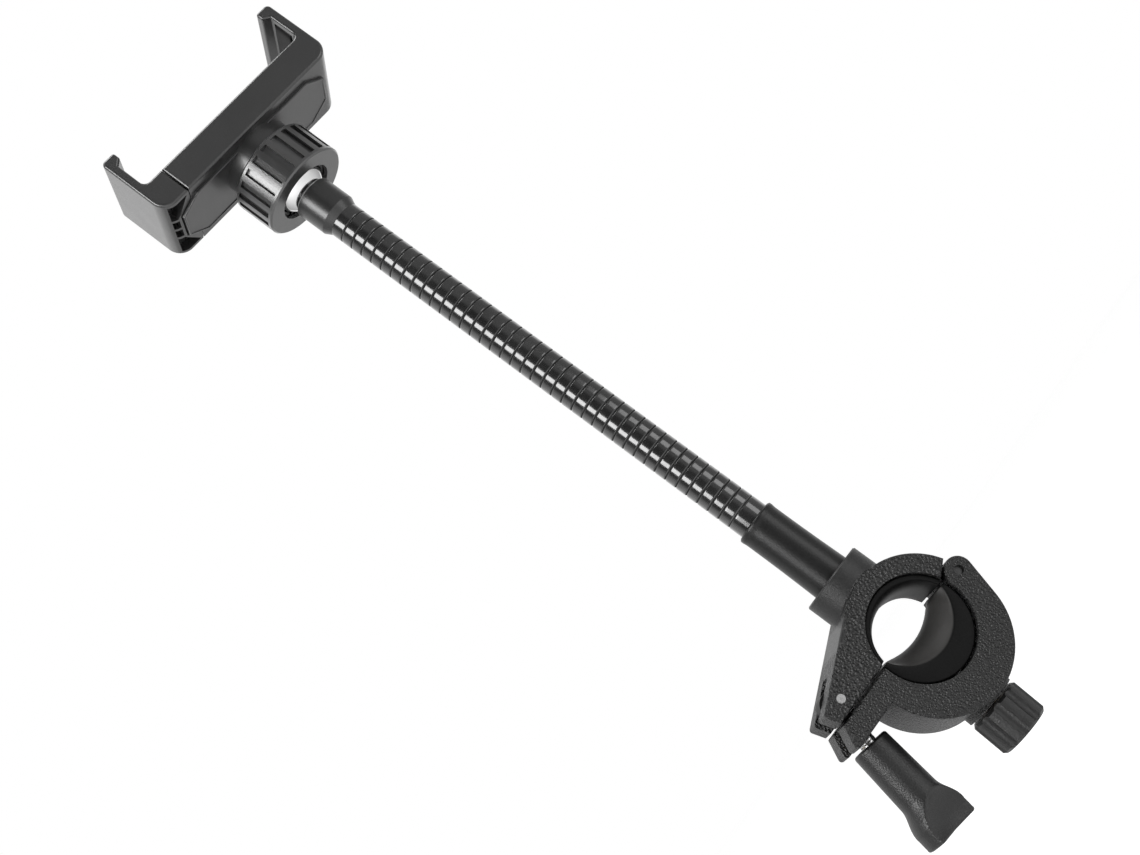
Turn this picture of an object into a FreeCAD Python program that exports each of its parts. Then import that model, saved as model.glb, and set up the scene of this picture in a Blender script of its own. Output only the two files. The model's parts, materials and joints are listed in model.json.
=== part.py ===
import FreeCAD, Part
import math
import os

os.makedirs("parts", exist_ok=True)
V = FreeCAD.Vector

# Millimetres. The origin is on the axis of the gripped bar, at the middle of the clamp.
# +Y runs along the bar, +Z runs up the neck, +X points at the clamp's hinge.

# Gripped bar and clamp ring
bar_radius = 6.3
bar_rise = 3.3
bore_radius = 15.4
bore_drop = 2.1
clamp_depth = 22.0
upper_wall = 5.6
lower_wall = 6.4
lower_drop = 4.4
split_gap = 0.8
face_round = 0.7
boss_radius = 10.6
boss_rise = 6.3
boss_edge = 0.4

# Rubber pads
pad_depth = 19.6
pad_crest = 8.0
upper_pad_drop = 2.2
lower_pad_drop = 5.0
upper_grip_angle = 24.0
lower_grip_angle = 45.0
upper_flank_bow = 2.3
lower_flank_bow = 0.8
pad_end_height = 0.6
pad_end_width = 1.6
pad_seat_clearance = 0.05
pad_bore_clearance = 0.3
pad_room = 2.0

# Clamp hinge
hinge_x = 20.0
hinge_drop = 1.2
knuckle_radius = 4.1
knuckle_width = 7.4
knuckle_gap = 0.4
knuckle_side_gap = 0.3
hinge_face_angle = 26.6
hinge_pin_radius = 1.3
hinge_pin_recess = 1.0
running_clearance = 0.05

# Swing bolt, its pin and its thumb nut
bolt_x = -29.5
bolt_pin_height = 4.2
bolt_pin_radius = 1.25
bolt_radius = 2.5
bolt_length = 35.5
bolt_lean = 9.6
eye_radius = 4.2
eye_width = 5.4
eye_clearance = 0.3
eye_wall_gap = 0.8
slot_clearance = 0.7
upper_ear_reach = 6.9
upper_ear_height = 4.6
upper_ear_slant = 1.5
lower_ear_height = 6.8
lower_ear_slant = 3.5
ear_corner = 1.0
nut_gap = 2.2
nut_radius = 5.85
nut_length = 30.8
nut_flare_radius = 8.5
nut_flare_length = 12.2
nut_flare_bow = 0.6
nut_web = 4.6
nut_scoop_radius = 13.0
nut_scoop_rise = 3.0
nut_edge = 0.8
bolt_tip_room = 0.8
bolt_tip_clearance = 0.4
insert_radius = 4.0
insert_length = 8.0
insert_recess = 0.3

# Pressure screw and its knob under the lower half
screw_radius = 3.0
screw_boss_radius = 8.2
screw_boss_drop = 0.6
screw_lean = 3.6
screw_insert_radius = 4.4
screw_insert_length = 8.0
socket_radius = 4.6
socket_drop = 1.8
socket_recess_clearance = 0.6
pad_travel = 1.6
socket_seat = 2.0
screw_tip_clearance = 0.1
knob_radius = 8.35
knob_length = 11.2
knob_gap = 0.7
knob_edge = 0.8
knob_flutes = 10
knob_flute_radius = 2.0
knob_flute_depth = 0.7
knob_floor = 3.0

# Neck
sleeve_radius = 6.7
sleeve_foot_radius = 7.0
sleeve_length = 27.2
sleeve_seat = 3.0
core_radius = 4.5
core_seat = 8.0
neck_radius = 5.5
ring_pitch = 3.74
rings_per_link = 5
link_count = 8
ring_groove_width = 0.9
ring_groove_floor = 0.45
ring_groove_depth = 0.28
link_ball_radius = 3.35
link_ball_clearance = 0.2
link_gap_angle = 12.0
ferrule_radius = 6.75
ferrule_length = 12.9
ferrule_taper = 2.6
ferrule_edge = 0.6

# Ball joint and collar nut
ball_radius = 9.5
ball_rise = 8.2
stud_radius = 4.0
stud_depth = 9.0
socket_clearance = 0.2
stub_drop = 4.5
stub_taper = 2.0
stub_cone = 3.0
stub_slot = 1.2
stub_slot_height = 7.0
stub_slot_angles = (45.0, 135.0)
seat_radius = 8.6
seat_bottom = 4.8
seat_top = 11.2
collar_radius = 15.3
collar_length = 14.0
collar_lip = 1.6
collar_hold = 1.0
collar_wall = 2.4
collar_clearance = 0.3
collar_ribs = 22
collar_groove_width = 2.3
collar_groove_depth = 1.1
collar_rim = 1.3
collar_edge = 0.5

# Cradle
cradle_rise = 13.9
cradle_length = 72.0
cradle_height = 30.0
cradle_thickness = 10.5
cradle_wall = 2.2
cradle_corner = 5.0
cradle_edge = 0.9
jaw_height = 14.5
jaw_wall = 3.0
jaw_root_round = 2.0
jaw_lip = 2.2
jaw_lip_height = 2.6
jaw_lip_slope = 1.6
jaw_tip_round = 1.6
sliding_block = 10.0
seam_gap = 0.3
cover_thickness = 2.0
cover_ledge = 1.2
cover_clearance = 0.1
front_pad_thickness = 0.6
front_pad_margin = 2.0
jaw_pad_recess = 0.8
jaw_pad_thickness = 1.4
jaw_pad_margin = 2.2
jaw_pad_top_margin = 1.1
panel_rise = 0.7
panel_tip = 5.0
panel_half_width = 11.0
panel_tip_half_width = 5.5
panel_shoulder = 7.0
panel_gap = 0.35
pocket_depth = 3.2
pocket_margin = 1.2
pocket_outer = 1.8
pocket_rib = 1.1
small_pocket_width = 3.8
screw_post_radius = 2.4
screw_post_inset = 3.8
cover_screw_radius = 1.2
cover_screw_head = 2.2
cover_screw_head_height = 1.2
cover_screw_length = 6.0

# Guide rods and springs of the sliding jaw
rod_radius = 1.5
rod_room = 0.4
rod_seat = 6.0
rod_end_room = 4.0
rod_head_radius = 2.9
rod_head_length = 2.0
spring_radius = 2.7
spring_wire = 0.8
spring_clearance = 0.2

# Places that follow from the sizes
split_z = -bar_rise
bore_z = split_z - bore_drop
upper_seam = split_z + split_gap / 2
lower_seam = split_z - split_gap / 2
upper_outer_radius = bore_radius + upper_wall
lower_outer_radius = bore_radius + lower_wall
lower_z = bore_z - lower_drop
boss_top = bore_z + upper_outer_radius + boss_rise
hinge_z = split_z - hinge_drop
bolt_z = split_z + bolt_pin_height
half_depth = clamp_depth / 2

knuckle_slot = knuckle_width / 2 + knuckle_side_gap
fork_half = eye_width / 2 + eye_clearance
slot_half = bolt_radius + slot_clearance
ear_bottom = lower_seam - lower_ear_height
upper_ear_end = bolt_x - upper_ear_reach
upper_ear_top = upper_seam + upper_ear_height
lower_ear_end = upper_ear_end + upper_ear_slant
nut_top = bolt_z - ear_bottom + nut_gap

pad_back_radius = bore_radius - pad_bore_clearance
pad_bottom = bore_z - bore_radius + pad_room
pad_back_z = pad_bottom + pad_back_radius
socket_bottom = pad_bottom - socket_drop
screw_tip = pad_bottom - screw_tip_clearance
lower_bottom = lower_z - lower_outer_radius
screw_boss_bottom = lower_bottom - screw_boss_drop
knob_top = screw_boss_bottom - knob_gap
knob_bottom = knob_top - knob_length

link_length = ring_pitch * rings_per_link
neck_start = boss_top + sleeve_length
neck_end = neck_start + link_length * link_count
gap_slope = math.tan(math.radians(link_gap_angle))
ferrule_top = neck_end + ferrule_length
ball_z = ferrule_top + ball_rise

back_z = ball_z + cradle_rise
front_z = back_z + cradle_thickness
jaw_top = front_z + jaw_height
reach = jaw_top
half_length = cradle_length / 2
half_height = cradle_height / 2
seam_x = -half_length + sliding_block
stub_bottom = ball_z - stub_drop
stub_radius = collar_radius - collar_wall - collar_clearance
stub_tip_radius = stub_radius - stub_taper
collar_opening = stub_tip_radius - collar_hold
collar_bottom = stub_bottom - collar_lip
collar_top = collar_bottom + collar_length
rod_z = (back_z + cradle_wall + front_z - cover_thickness) / 2


# Shape helpers

def box(x0, x1, y0, y1, z0, z1):
    return Part.makeBox(x1 - x0, y1 - y0, z1 - z0, V(x0, y0, z0))


def cylinder_y(radius, width, x, z):
    return Part.makeCylinder(radius, width, V(x, -width / 2, z), V(0, 1, 0))


def cylinder_z(radius, z0, z1, x=0.0, y=0.0):
    return Part.makeCylinder(radius, z1 - z0, V(x, y, z0))


def cylinder_x(radius, x0, x1, y, z):
    return Part.makeCylinder(radius, x1 - x0, V(x0, y, z), V(1, 0, 0))


def sphere(radius, z):
    return Part.makeSphere(radius, V(0, 0, z))


def lines_and_arcs(corners, place):
    """A closed face from corners (u, v, radius), each corner rounded by its own radius."""
    runs = []
    for i, (u, v, radius) in enumerate(corners):
        here = V(u, v, 0)
        before = V(*corners[i - 1][:2], 0) - here
        after = V(*corners[(i + 1) % len(corners)][:2], 0) - here
        before.normalize()
        after.normalize()
        half = before.getAngle(after) / 2
        start = here + before * (radius / math.tan(half))
        end = here + after * (radius / math.tan(half))
        middle = here
        if radius:
            inward = before + after
            inward.normalize()
            middle = here + inward * (radius / math.sin(half) - radius)
        runs.append((start, middle, end, radius))
    edges = []
    for i, (start, middle, end, radius) in enumerate(runs):
        if radius:
            arc = Part.Arc(place(start.x, start.y), place(middle.x, middle.y), place(end.x, end.y))
            edges.append(arc.toShape())
        following = runs[(i + 1) % len(runs)][0]
        edges.append(Part.LineSegment(place(end.x, end.y), place(following.x, following.y)).toShape())
    return Part.Face(Part.Wire(edges))


def plate_xz(corners, y0, y1):
    face = lines_and_arcs(corners, lambda u, v: V(u, y0, v))
    return face.extrude(V(0, y1 - y0, 0))


def plate_xy(corners, z0, z1):
    face = lines_and_arcs(corners, lambda u, v: V(u, v, z0))
    return face.extrude(V(0, 0, z1 - z0))


def sharp(points):
    return [(u, v, 0.0) for u, v in points]


def turned(edges):
    """A solid of revolution about Z from edges in the XZ half plane."""
    face = Part.Face(Part.Wire(edges))
    return face.revolve(V(0, 0, 0), V(0, 0, 1), 360)


def turned_points(points):
    closed = [V(r, 0, z) for r, z in points]
    return turned(Part.makePolygon(closed + closed[:1]).Edges)


def line(a, b):
    return Part.LineSegment(V(a[0], 0, a[1]), V(b[0], 0, b[1])).toShape()


def arc(a, b, c):
    return Part.Arc(V(a[0], 0, a[1]), V(b[0], 0, b[1]), V(c[0], 0, c[1])).toShape()


def round_edges(shape, radius, wanted):
    edges = [edge for edge in shape.Edges if wanted(edge)]
    return shape.makeFillet(radius, edges)


def on_plane_y(edge, y):
    box_of = edge.BoundBox
    return abs(box_of.YMin - y) < 1e-4 and abs(box_of.YMax - y) < 1e-4


def save(shape, name):
    shape.removeSplitter().exportStep("parts/" + name + ".step")


# Clamp halves

def tangent_point(px, pz, radius, z):
    """Where a line from (px, pz) touches the top of a circle centred at (0, z)."""
    towards = math.atan2(pz - z, px)
    spread = math.acos(radius / math.hypot(px, pz - z))
    angle = towards - spread
    return radius * math.cos(angle), z + radius * math.sin(angle)


def outer_tangent(ax, az, a_radius, bx, bz, b_radius):
    """Where the right-hand outer tangent of two circles touches each of them."""
    apart = math.hypot(ax - bx, az - bz)
    angle = math.atan2(az - bz, ax - bx) - math.acos((b_radius - a_radius) / apart)
    c, n = math.cos(angle), math.sin(angle)
    return (ax + a_radius * c, az + a_radius * n), (bx + b_radius * c, bz + b_radius * n)


def screw_leaned(shape):
    """Turns a piece of the pressure screw, drawn upright, about the middle of the clamp's bore."""
    shape.rotate(V(0, 0, bore_z), V(0, 1, 0), screw_lean)
    return shape


def hinge_side_cut(y0, y1):
    """The room beside the upper half's knuckle, under its slanted end face."""
    slope = math.radians(hinge_face_angle)
    along = V(math.cos(slope), 0, math.sin(slope))
    off = V(-math.sin(slope), 0, math.cos(slope))
    foot = V(hinge_x, y0, hinge_z) + off * (knuckle_radius + knuckle_gap)
    a = foot - along * hinge_x
    b = foot + along * hinge_x
    corners = [a, b, b - off * hinge_x, a - off * hinge_x]
    face = Part.Face(Part.makePolygon(corners + corners[:1]))
    return face.extrude(V(0, y1 - y0, 0))


def clamp_upper_half():
    touch = tangent_point(upper_ear_end, upper_ear_top, upper_outer_radius, bore_z)
    ear = plate_xz(
        [
            (lower_ear_end, upper_seam, 0.0),
            (upper_ear_end, upper_ear_top, ear_corner),
            (touch[0], touch[1], 0.0),
            (0.0, bore_z + bore_radius, 0.0),
            (0.0, upper_seam, 0.0),
        ],
        -half_depth,
        half_depth,
    )
    ring = cylinder_y(upper_outer_radius, clamp_depth, 0, bore_z)
    ring = ring.common(box(-reach, reach, -reach, reach, upper_seam, reach))
    body = ring.fuse(ear)
    for side in (-1, 1):
        y0, y1 = sorted((side * knuckle_width / 2, side * clamp_depth))
        body = body.cut(hinge_side_cut(y0, y1))
    body = body.removeSplitter()
    body = round_edges(body, face_round, lambda e: on_plane_y(e, -half_depth) or on_plane_y(e, half_depth))
    boss_foot = bore_z + bore_radius
    boss = turned_points(
        [
            (0, boss_foot),
            (boss_radius, boss_foot),
            (boss_radius, boss_top - boss_edge),
            (boss_radius - boss_edge, boss_top),
            (0, boss_top),
        ]
    )
    body = body.fuse(boss)
    body = body.fuse(cylinder_y(knuckle_radius, knuckle_width, hinge_x, hinge_z))
    body = body.cut(cylinder_y(bore_radius, 2 * clamp_depth, 0, bore_z))
    fork = box(-reach, bolt_x + eye_radius + eye_wall_gap, -fork_half, fork_half, -reach, reach)
    body = body.cut(fork)
    body = body.cut(cylinder_y(bolt_pin_radius, 2 * clamp_depth, bolt_x, bolt_z))
    body = body.cut(cylinder_y(hinge_pin_radius, 2 * clamp_depth, hinge_x, hinge_z))
    body = body.cut(cylinder_z(core_radius, boss_top - core_seat, boss_top))
    return body.cut(cylinder_z(sleeve_foot_radius, boss_top - sleeve_seat, boss_top))


def clamp_lower_half():
    disc = cylinder_y(lower_outer_radius, clamp_depth, 0, lower_z)
    ear = plate_xz(
        [
            (lower_ear_end, lower_seam, 0.0),
            (lower_ear_end - lower_ear_slant, ear_bottom, ear_corner),
            (0.0, ear_bottom, 0.0),
            (0.0, lower_seam, 0.0),
        ],
        -half_depth,
        half_depth,
    )
    on_knuckle, on_disc = outer_tangent(hinge_x, hinge_z, knuckle_radius, 0.0, lower_z, lower_outer_radius)
    web = plate_xz(sharp([(hinge_x, hinge_z), (0.0, lower_z), on_disc, on_knuckle]), -half_depth, half_depth)
    body = disc.fuse(ear).common(box(-reach, reach, -reach, reach, -reach, lower_seam)).fuse(web)
    body = body.fuse(cylinder_y(knuckle_radius, clamp_depth, hinge_x, hinge_z)).removeSplitter()
    body = round_edges(body, face_round, lambda e: on_plane_y(e, -half_depth) or on_plane_y(e, half_depth))
    body = body.fuse(screw_leaned(cylinder_z(screw_boss_radius, screw_boss_bottom, lower_z)))
    body = body.cut(cylinder_y(bore_radius, 2 * clamp_depth, 0, bore_z))
    room = knuckle_radius + knuckle_gap
    body = body.cut(cylinder_y(room, 2 * knuckle_slot, hinge_x, hinge_z))
    body = body.cut(box(hinge_x, reach, -knuckle_slot, knuckle_slot, hinge_z - room, reach))
    body = body.cut(box(0, hinge_x, -knuckle_slot, knuckle_slot, hinge_z - hinge_pin_radius, reach))
    slot = box(-reach, bolt_x, -slot_half, slot_half, -reach, reach)
    slot = slot.fuse(cylinder_z(slot_half, -reach, reach, bolt_x))
    slot = slot.common(box(-reach, -bore_radius, -reach, reach, ear_bottom - slot_clearance, reach))
    body = body.cut(slot)
    pin_hole = hinge_pin_radius + running_clearance
    body = body.cut(cylinder_y(pin_hole, 2 * clamp_depth, hinge_x, hinge_z))
    recess = socket_radius + socket_recess_clearance
    recess_floor = socket_bottom - pad_travel - socket_recess_clearance
    body = body.cut(screw_leaned(cylinder_z(recess, recess_floor, lower_z)))
    screw_hole = cylinder_z(screw_radius + 2 * running_clearance, screw_boss_bottom, lower_z)
    body = body.cut(screw_leaned(screw_hole))
    insert_top = screw_boss_bottom + screw_insert_length
    return body.cut(screw_leaned(cylinder_z(screw_insert_radius, screw_boss_bottom, insert_top)))


def hinge_pin():
    return cylinder_y(hinge_pin_radius, clamp_depth - 2 * hinge_pin_recess, hinge_x, hinge_z)


def swing_bolt_pin():
    return cylinder_y(bolt_pin_radius, clamp_depth, bolt_x, bolt_z)


# Pads

def saddle_pad(sign, drop, grip_angle, bow, back_radius, back_z):
    """A pad with a round back and a bar-shaped crest, which slopes back by drop to its front and rear edges."""
    grip = math.radians(grip_angle)
    grip_x = bar_radius * math.sin(grip)
    grip_z = sign * bar_radius * math.cos(grip)
    end_z = split_z + sign * pad_end_height
    back_x = math.sqrt(back_radius ** 2 - (end_z - back_z) ** 2)
    end_x = back_x - pad_end_width
    length = math.hypot(end_x - grip_x, end_z - grip_z)
    mid_x = (grip_x + end_x) / 2 + sign * bow * (grip_z - end_z) / length
    mid_z = (grip_z + end_z) / 2 + sign * bow * (end_x - grip_x) / length
    outline = Part.Wire(
        [
            arc((-back_x, end_z), (0, back_z + sign * back_radius), (back_x, end_z)),
            line((back_x, end_z), (end_x, end_z)),
            arc((end_x, end_z), (mid_x, mid_z), (grip_x, grip_z)),
            arc((grip_x, grip_z), (0, sign * bar_radius), (-grip_x, grip_z)),
            arc((-grip_x, grip_z), (-mid_x, mid_z), (-end_x, end_z)),
            line((-end_x, end_z), (-back_x, end_z)),
        ]
    )
    outline.translate(V(0, -pad_depth / 2, 0))
    pad = Part.Face(outline).extrude(V(0, pad_depth, 0))
    slope_length = (pad_depth - pad_crest) / 2
    past = 1 + pad_seat_clearance
    for side in (-1, 1):
        start = V(0, side * pad_crest / 2, 0)
        cone = Part.makeCone(bar_radius, bar_radius + drop * past, slope_length * past, start, V(0, side, 0))
        pad = pad.cut(cone)
    return pad


def upper_pad():
    back_radius = bore_radius - pad_seat_clearance
    return saddle_pad(1, upper_pad_drop, upper_grip_angle, upper_flank_bow, back_radius, bore_z)


def pressure_pad():
    pad = saddle_pad(-1, lower_pad_drop, lower_grip_angle, lower_flank_bow, pad_back_radius, pad_back_z)
    socket = screw_leaned(cylinder_z(socket_radius, socket_bottom, pad_bottom + socket_seat))
    hole = screw_leaned(cylinder_z(screw_radius + running_clearance, socket_bottom, pad_bottom))
    return pad.fuse(socket).cut(hole)


# Pressure screw and knob

def pad_screw():
    return screw_leaned(cylinder_z(screw_radius, knob_bottom + knob_floor, screw_tip))


def screw_insert():
    sleeve = cylinder_z(screw_insert_radius, screw_boss_bottom, screw_boss_bottom + screw_insert_length)
    return screw_leaned(sleeve.cut(cylinder_z(screw_radius + running_clearance, -reach, 0)))


def pad_knob():
    knob = turned_points(
        [
            (0, knob_bottom),
            (knob_radius - knob_edge, knob_bottom),
            (knob_radius, knob_bottom + knob_edge),
            (knob_radius, knob_top - knob_edge),
            (knob_radius - knob_edge, knob_top),
            (0, knob_top),
        ]
    )
    out = knob_radius - knob_flute_depth + knob_flute_radius
    for i in range(knob_flutes):
        turn = 2 * math.pi * i / knob_flutes
        flute = cylinder_z(knob_flute_radius, -reach, 0, out * math.cos(turn), out * math.sin(turn))
        knob = knob.cut(flute)
    return screw_leaned(knob.cut(cylinder_z(screw_radius, knob_bottom + knob_floor, knob_top)))


# Swing bolt and thumb nut, drawn straight down from the pin and then leaned outwards

def leaned(shape):
    shape.rotate(V(bolt_x, 0, bolt_z), V(0, 1, 0), bolt_lean)
    return shape


def swing_bolt():
    eye = cylinder_y(eye_radius, eye_width, bolt_x, bolt_z)
    shank = cylinder_z(bolt_radius, bolt_z - bolt_length, bolt_z, bolt_x)
    hole = cylinder_y(bolt_pin_radius + running_clearance, clamp_depth, bolt_x, bolt_z)
    return leaned(eye.fuse(shank).cut(hole))


def thumb_nut_insert():
    top = bolt_z - nut_top - insert_recess
    tube = cylinder_z(insert_radius, top - insert_length, top, bolt_x)
    return leaned(tube.cut(cylinder_z(bolt_radius + running_clearance, -reach, 0, bolt_x)))


def thumb_nut():
    top = bolt_z - nut_top
    bottom = top - nut_length
    flare = bottom + nut_flare_length
    waist = (bottom + flare) / 2
    bend = ((nut_flare_radius + nut_radius) / 2 - nut_flare_bow, (waist + flare) / 2 - nut_flare_bow)
    nut = turned(
        [
            line((0, bottom), (nut_flare_radius - nut_edge, bottom)),
            line((nut_flare_radius - nut_edge, bottom), (nut_flare_radius, bottom + nut_edge)),
            line((nut_flare_radius, bottom + nut_edge), (nut_flare_radius, waist)),
            arc((nut_flare_radius, waist), bend, (nut_radius, flare)),
            line((nut_radius, flare), (nut_radius, top - nut_edge)),
            line((nut_radius, top - nut_edge), (nut_radius - nut_edge, top)),
            line((nut_radius - nut_edge, top), (0, top)),
            line((0, top), (0, bottom)),
        ]
    )
    for side in (-1, 1):
        y = side * (nut_web / 2 + nut_scoop_radius)
        nut = nut.cut(cylinder_x(nut_scoop_radius, -reach, reach, y, bottom + nut_scoop_rise))
    bore_floor = bolt_z - bolt_length - bolt_tip_room
    bore = cylinder_z(bolt_radius + bolt_tip_clearance, bore_floor, top)
    pocket = insert_radius + running_clearance
    nut = nut.cut(bore).cut(cylinder_z(pocket, top - insert_recess - insert_length, top))
    nut.translate(V(bolt_x, 0, 0))
    return leaned(nut)


# Neck

def cup_edges(z):
    """The hollow lower end of a link at height z: a cone face round a spherical cup."""
    cup = link_ball_radius + link_ball_clearance
    slope = math.radians(link_gap_angle)
    rim = (cup * math.cos(slope), z + cup * math.sin(slope))
    mid = (math.pi / 2 + slope) / 2
    bow = (cup * math.cos(mid), z + cup * math.sin(mid))
    top = (0, z + cup)
    return [arc(top, bow, rim), line(rim, (neck_radius, z + neck_radius * gap_slope))], top


def ball_edges(z, radius):
    """The upper end of a link at height z: a cone face round a ball."""
    slope = math.radians(link_gap_angle)
    foot = (link_ball_radius * math.cos(slope), z - link_ball_radius * math.sin(slope))
    mid = (math.pi / 2 - slope) / 2
    bow = (link_ball_radius * math.cos(mid), z + link_ball_radius * math.sin(mid))
    top = (0, z + link_ball_radius)
    return [line((radius, z - radius * gap_slope), foot), arc(foot, bow, top)], top


def ringed_side(z, bottom, top):
    """The link's outside: a groove at every ring pitch between its two ends."""
    points = [(neck_radius, bottom)]
    for i in range(1, rings_per_link):
        centre = z + i * ring_pitch
        for r, dz in (
            (neck_radius, -ring_groove_width / 2),
            (neck_radius - ring_groove_depth, -ring_groove_floor / 2),
            (neck_radius - ring_groove_depth, ring_groove_floor / 2),
            (neck_radius, ring_groove_width / 2),
        ):
            points.append((r, centre + dz))
    points.append((neck_radius, top))
    return [line(a, b) for a, b in zip(points, points[1:])]


def neck_link(index):
    z = neck_start + index * link_length
    above = z + link_length
    lower, lower_top = cup_edges(z)
    if index + 1 < link_count:
        upper, upper_top = ball_edges(above, neck_radius)
        side_top = above - neck_radius * gap_slope
    else:
        upper_top = (0, above)
        upper = [line((neck_radius, above), upper_top)]
        side_top = above
    side = ringed_side(z, z + neck_radius * gap_slope, side_top)
    return turned(lower + side + upper + [line(upper_top, lower_top)])


def lower_core():
    foot = boss_top - core_seat
    upper, top = ball_edges(neck_start, core_radius)
    start = (core_radius, neck_start - core_radius * gap_slope)
    edges = [line((0, foot), (core_radius, foot)), line((core_radius, foot), start)]
    return turned(edges + upper + [line(top, (0, foot))])


def lower_sleeve():
    foot = boss_top - sleeve_seat
    return turned_points(
        [
            (core_radius, foot),
            (sleeve_foot_radius, foot),
            (sleeve_foot_radius, boss_top),
            (sleeve_radius, neck_start - sleeve_radius * gap_slope),
            (core_radius, neck_start - core_radius * gap_slope),
        ]
    )


def upper_ferrule():
    ferrule = turned_points(
        [
            (0, neck_end),
            (neck_radius, neck_end),
            (ferrule_radius, neck_end + ferrule_taper),
            (ferrule_radius, ferrule_top - ferrule_edge),
            (ferrule_radius - ferrule_edge, ferrule_top),
            (0, ferrule_top),
        ]
    )
    return ferrule.cut(cylinder_z(stud_radius + running_clearance, ferrule_top - stud_depth, ferrule_top))


# Ball joint

def ball_stud():
    stem = cylinder_z(stud_radius, ferrule_top - stud_depth, ball_z)
    ball = sphere(ball_radius, ball_z).cut(cylinder_z(reach, -reach, ferrule_top))
    return ball.fuse(stem)


def ball_seat():
    seat = cylinder_z(seat_radius, ball_z + seat_bottom, ball_z + seat_top)
    return seat.cut(sphere(ball_radius + socket_clearance, ball_z))


def collar_nut():
    inner = stub_radius + collar_clearance
    cone_top = stub_bottom + stub_cone
    collar = turned_points(
        [
            (collar_opening, collar_bottom),
            (collar_radius - collar_edge, collar_bottom),
            (collar_radius, collar_bottom + collar_edge),
            (collar_radius, collar_top - collar_edge),
            (collar_radius - collar_edge, collar_top),
            (inner, collar_top),
            (inner, cone_top),
            (stub_tip_radius + collar_clearance, stub_bottom),
            (collar_opening, stub_bottom - collar_clearance),
        ]
    )
    groove = box(
        collar_radius - collar_groove_depth,
        collar_radius + collar_groove_depth,
        -collar_groove_width / 2,
        collar_groove_width / 2,
        collar_bottom + collar_rim,
        collar_top - collar_rim,
    )
    for i in range(collar_ribs):
        cut = groove.copy()
        cut.rotate(V(0, 0, 0), V(0, 0, 1), 360.0 * i / collar_ribs)
        collar = collar.cut(cut)
    return collar


# Cradle

def jaw_side(side):
    """The end of the cradle on one side: jaw wall, lip and rounded back corner, as XZ corners."""
    out = half_length
    tip = out - jaw_wall - jaw_lip
    corners = [
        (out, back_z, cradle_corner),
        (out, jaw_top, jaw_tip_round),
        (tip, jaw_top, cradle_edge),
        (tip, jaw_top - jaw_lip_height, cradle_edge),
        (out - jaw_wall, jaw_top - jaw_lip_height - jaw_lip_slope, 0.0),
        (out - jaw_wall, front_z, jaw_root_round),
    ]
    return [(side * x, z, r) for x, z, r in corners]


def panel_outline(margin=0.0):
    """The raised eight-sided panel on the cradle's back, in plan."""
    far = -seam_x + panel_tip + margin
    shoulder = far - panel_shoulder
    wide = panel_half_width + margin
    narrow = panel_tip_half_width + margin
    quarter = [(far, narrow), (shoulder, wide)]
    right = [(x, -y) for x, y in reversed(quarter)] + quarter
    left = [(-x, -y) for x, y in right]
    return sharp(right + left)


def post_places():
    x0 = seam_x + screw_post_inset
    x1 = half_length - jaw_wall - jaw_root_round - screw_post_inset
    y = half_height - screw_post_inset
    return [(x, s * y) for x in (x0, x1) for s in (-1, 1)]


def rod_places():
    y = half_height - screw_post_inset - screw_post_radius - rod_room - max(spring_radius, rod_head_radius)
    return (-y, y)


def jaw_pad_pocket(side):
    """The recess in a jaw's inner face that holds its rubber pad, as a box."""
    face = half_length - jaw_wall
    x0, x1 = sorted((side * face, side * (face + jaw_pad_recess)))
    y = half_height - jaw_pad_margin
    top = jaw_top - jaw_lip_height - jaw_lip_slope - jaw_pad_top_margin
    return x0, x1, -y, y, front_z + jaw_pad_margin, top


def cover_box(grow):
    x0 = seam_x + cover_ledge - grow
    x1 = half_length - jaw_wall - jaw_root_round - cover_ledge + grow
    y = half_height - cover_ledge + grow
    return box(x0, x1, -y, y, front_z - cover_thickness, front_z)


def cradle_housing():
    corners = [(seam_x, front_z, 0.0), (seam_x, back_z, 0.0)] + jaw_side(1)
    body = plate_xz(corners, -half_height, half_height)
    body = round_edges(body, cradle_edge, lambda e: on_plane_y(e, -half_height) or on_plane_y(e, half_height))
    cavity = box(
        seam_x + cradle_wall,
        half_length - jaw_wall - jaw_root_round - cradle_wall,
        cradle_wall - half_height,
        half_height - cradle_wall,
        back_z + cradle_wall,
        front_z,
    )
    for x, y in post_places():
        cavity = cavity.cut(cylinder_z(screw_post_radius, back_z, front_z, x, y))
    body = body.cut(cavity).cut(cover_box(cover_clearance))
    body = body.cut(box(*jaw_pad_pocket(1)))
    panel = plate_xy(panel_outline(), back_z - panel_rise, back_z + cradle_wall)
    body = body.fuse(panel)
    body = body.fuse(cylinder_z(stub_radius, stub_bottom + stub_cone, back_z + cradle_wall))
    cone = Part.makeCone(stub_tip_radius, stub_radius, stub_cone, V(0, 0, stub_bottom))
    body = body.fuse(cone)
    body = body.cut(sphere(ball_radius + socket_clearance, ball_z))
    body = body.cut(cylinder_z(seat_radius, ball_z, ball_z + seat_top))
    for angle in stub_slot_angles:
        slot = box(-reach, reach, -stub_slot / 2, stub_slot / 2, stub_bottom, stub_bottom + stub_slot_height)
        slot.rotate(V(0, 0, 0), V(0, 0, 1), angle)
        body = body.cut(slot)
    for y in rod_places():
        body = body.cut(cylinder_x(rod_radius + running_clearance, seam_x, seam_x + cradle_wall, y, rod_z))
    for x, y in post_places():
        hole_bottom = front_z - cover_screw_length
        body = body.cut(cylinder_z(cover_screw_radius, hole_bottom, front_z, x, y))
    return body


def front_cover():
    cover = cover_box(0.0)
    for x, y in post_places():
        cover = cover.cut(cylinder_z(cover_screw_radius, back_z, front_z, x, y))
        cover = cover.cut(cylinder_z(cover_screw_head, front_z - cover_screw_head_height, front_z, x, y))
    return cover


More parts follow.
